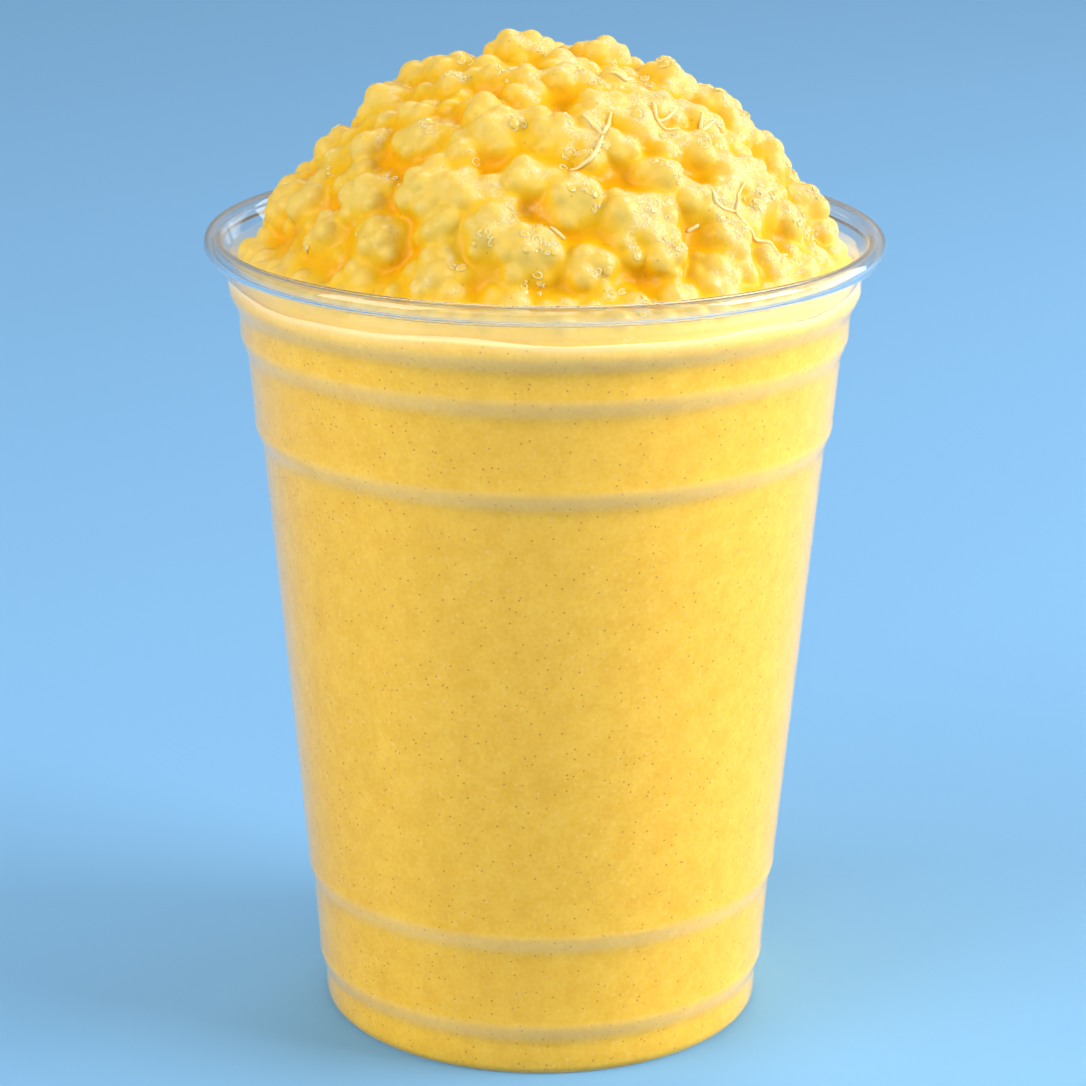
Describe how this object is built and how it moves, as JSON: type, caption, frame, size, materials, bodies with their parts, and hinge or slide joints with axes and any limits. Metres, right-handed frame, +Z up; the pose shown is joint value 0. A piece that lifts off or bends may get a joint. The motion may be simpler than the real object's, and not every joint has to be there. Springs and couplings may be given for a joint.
{
  "type": "mango smoothie",
  "caption": "Thick mango smoothie filling a clear tapered cup with stepped walls and a curled rim, heaped above the rim as a rounded, lumpy dome.",
  "frame": {"origin": "centre of the cup's foot, on the surface it stands on", "axes": "+Z up along the cup's axis, -Y towards the picture's viewer, +X to the picture's right"},
  "size_m": [0.098, 0.098, 0.1466],
  "materials": {
    "cup": "gloss",
    "smoothie": "gloss"
  },
  "bodies": {
    "root": {"cup": "cup", "smoothie": "smoothie"}
  },
  "joints": []
}
